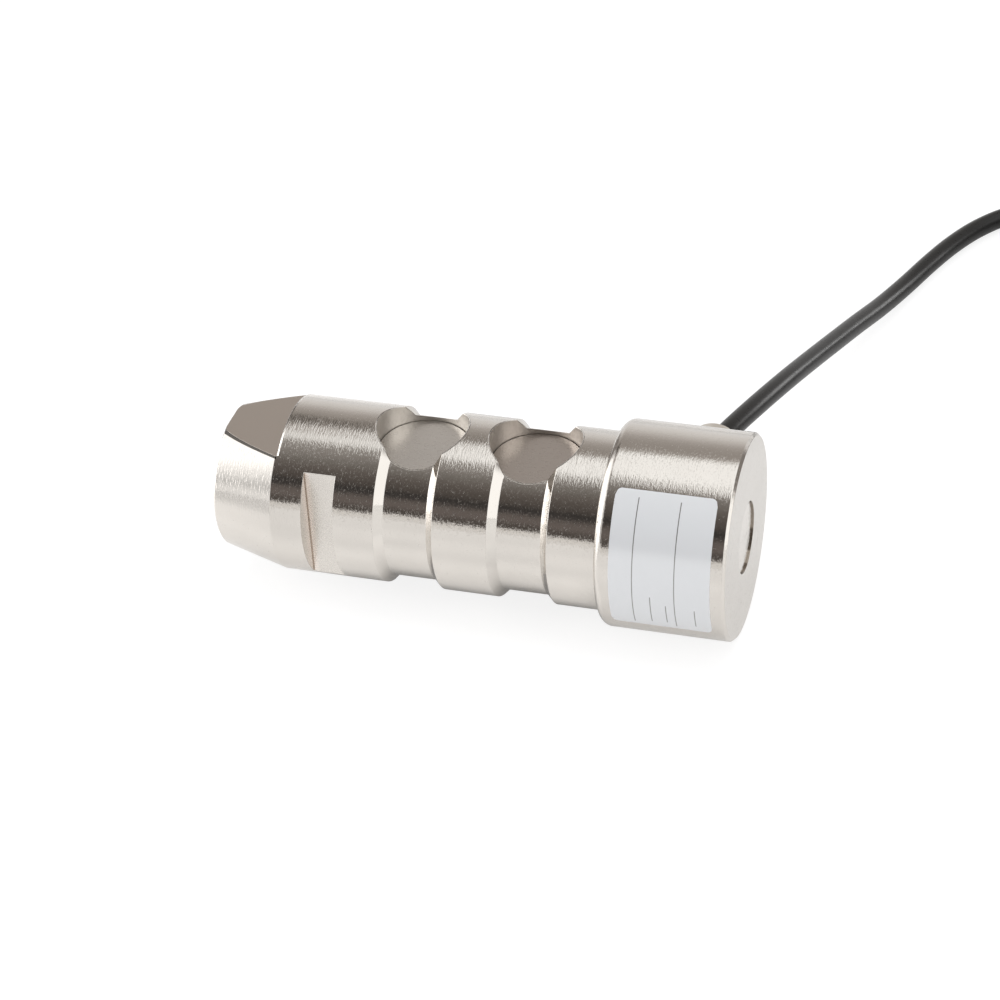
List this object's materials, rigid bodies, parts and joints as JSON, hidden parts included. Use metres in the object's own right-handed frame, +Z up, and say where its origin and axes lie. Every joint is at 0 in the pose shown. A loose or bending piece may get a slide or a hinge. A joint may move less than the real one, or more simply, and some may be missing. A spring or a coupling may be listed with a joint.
{
  "type": "strain gauge load cell",
  "caption": "Round steel load pin with two gauged grooves, sealed pockets, a keeper slot, a tapered nose, a stepped head and a side cable with a coiled lead.",
  "frame": {"origin": "on the pin's axis, at the middle of the section between the two grooves, where the load acts", "axes": "+X along the axis from nose to head, +Z up through the gauge pockets, -Y out of the keeper slot, +Y out of the cable gland"},
  "size_m": [0.2441, 0.2188, 0.0464],
  "materials": {
    "nickel_steel": "satin nickel plate over turned steel",
    "disc_steel": "fine matt ground steel",
    "plug_steel": "satin nickel plate",
    "gland_nickel": "nickel-plated brass",
    "rubber_black": "matt",
    "cable_sheath": "smooth, slightly glossy sheath",
    "label_film": "cool white film with thin ruled lines",
    "gauge_film": "amber polyimide with foil",
    "terminal_copper": "bare copper",
    "wire_bundle": "enamelled wires in a sleeve",
    "board_green": "solder mask",
    "resistor_black": "matt ceramic",
    "core_red": "smooth",
    "core_black": "smooth",
    "core_green": "smooth",
    "core_white": "smooth",
    "core_shield": "tinned copper drain wire",
    "tie_black": "woven hook-and-loop band"
  },
  "bodies": {
    "root": {"pin_body": "nickel_steel", "sealing_disc_nose_top": "disc_steel", "sealing_disc_nose_bottom": "disc_steel", "sealing_disc_head_top": "disc_steel", "sealing_disc_head_bottom": "disc_steel", "strain_gauge_nose_top": "gauge_film", "strain_gauge_nose_bottom": "gauge_film", "strain_gauge_head_top": "gauge_film", "strain_gauge_head_bottom": "gauge_film", "terminal_nose_top": "terminal_copper", "terminal_nose_bottom": "terminal_copper", "terminal_head_top": "terminal_copper", "terminal_head_bottom": "terminal_copper", "wire_bundle_top": "wire_bundle", "wire_bundle_bottom": "wire_bundle", "trim_board": "board_green", "trim_resistor_1": "resistor_black", "trim_resistor_2": "resistor_black", "trim_resistor_3": "resistor_black", "trim_resistor_4": "resistor_black", "end_plug": "plug_steel", "plug_gasket": "rubber_black", "gland_washer": "rubber_black", "gland_body": "gland_nickel", "gland_nut": "gland_nickel", "gland_grommet": "rubber_black", "rating_label": "label_film", "cable_inner": "cable_sheath", "cable_cores": "core_red", "cable_lead": "cable_sheath", "cable_coil": "cable_sheath", "cable_tail": "cable_sheath", "core_red": "core_red", "core_black": "core_black", "core_green": "core_green", "core_white": "core_white", "core_shield": "core_shield", "coil_tie_1": "tie_black", "coil_tie_2": "tie_black"}
  },
  "joints": []
}
